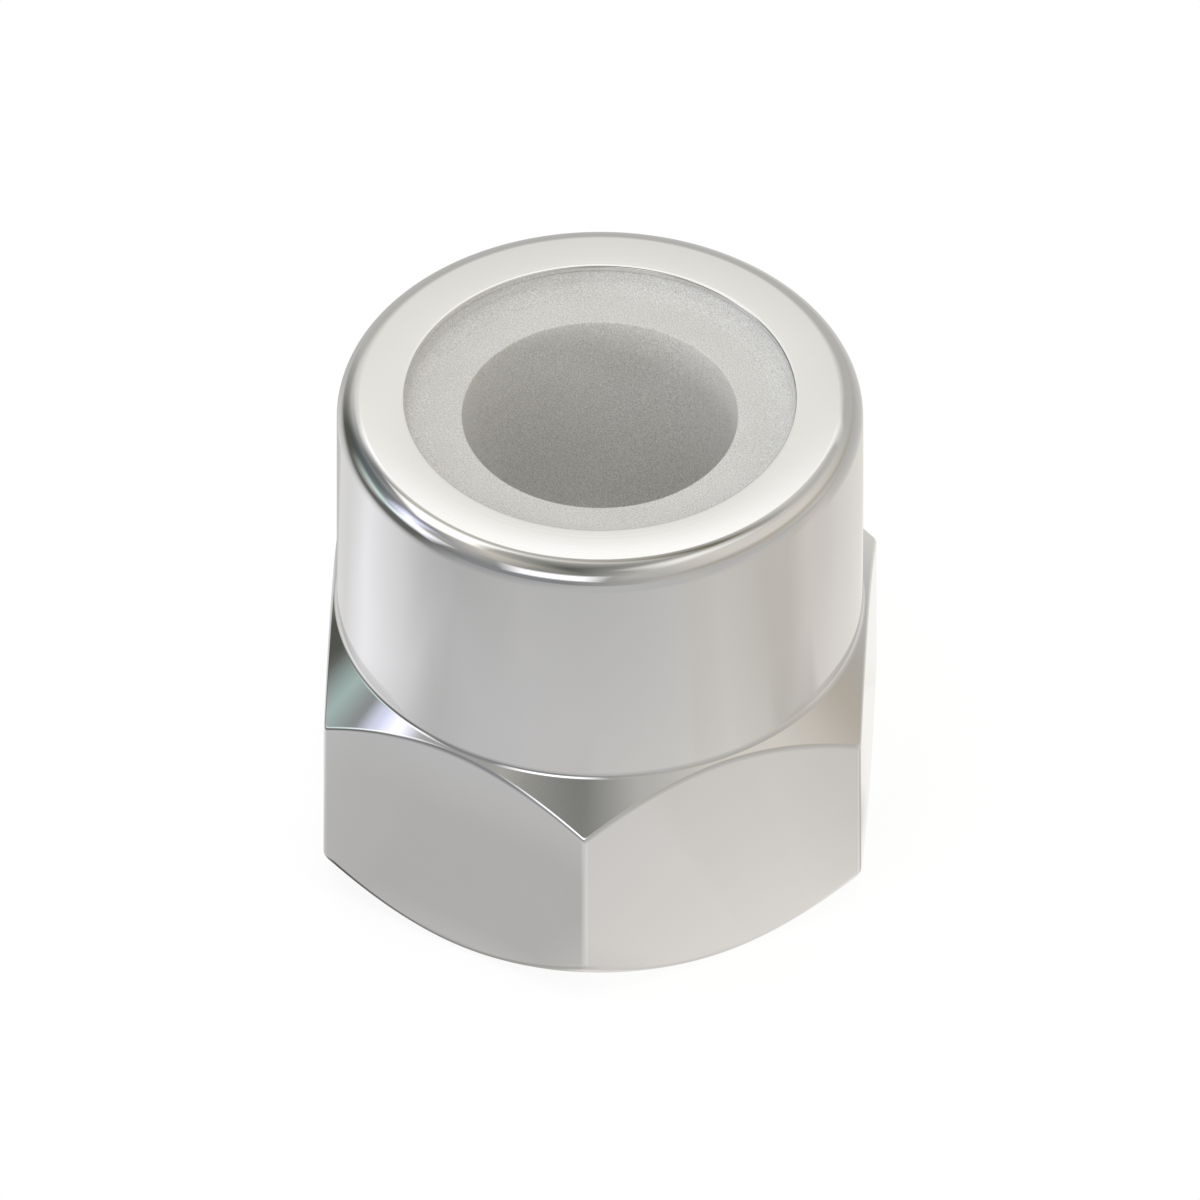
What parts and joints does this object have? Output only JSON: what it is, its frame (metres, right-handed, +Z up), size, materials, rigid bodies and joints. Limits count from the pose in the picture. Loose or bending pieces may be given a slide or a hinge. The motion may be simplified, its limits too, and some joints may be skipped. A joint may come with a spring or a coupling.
{
  "type": "hex lock nut",
  "caption": "Hex lock nut: chamfered hexagon under a tall round collar, whose rolled lip holds a nylon locking sleeve on the bore.",
  "frame": {"origin": "centre of the bearing face, on the axis of the bore, on the surface that the nut stands on", "axes": "+Z up the bore towards the collar and its insert; two corners of the hexagon on +X and -X, one pair of flats facing +Y and -Y"},
  "size_m": [0.0116, 0.01, 0.01],
  "materials": {
    "steel": "bright stainless steel, smooth satin, with finely polished edges",
    "nylon": "natural nylon, milky white, finely frosted"
  },
  "bodies": {
    "root": {"nut_body": "steel", "nylon_insert": "nylon"}
  },
  "joints": []
}
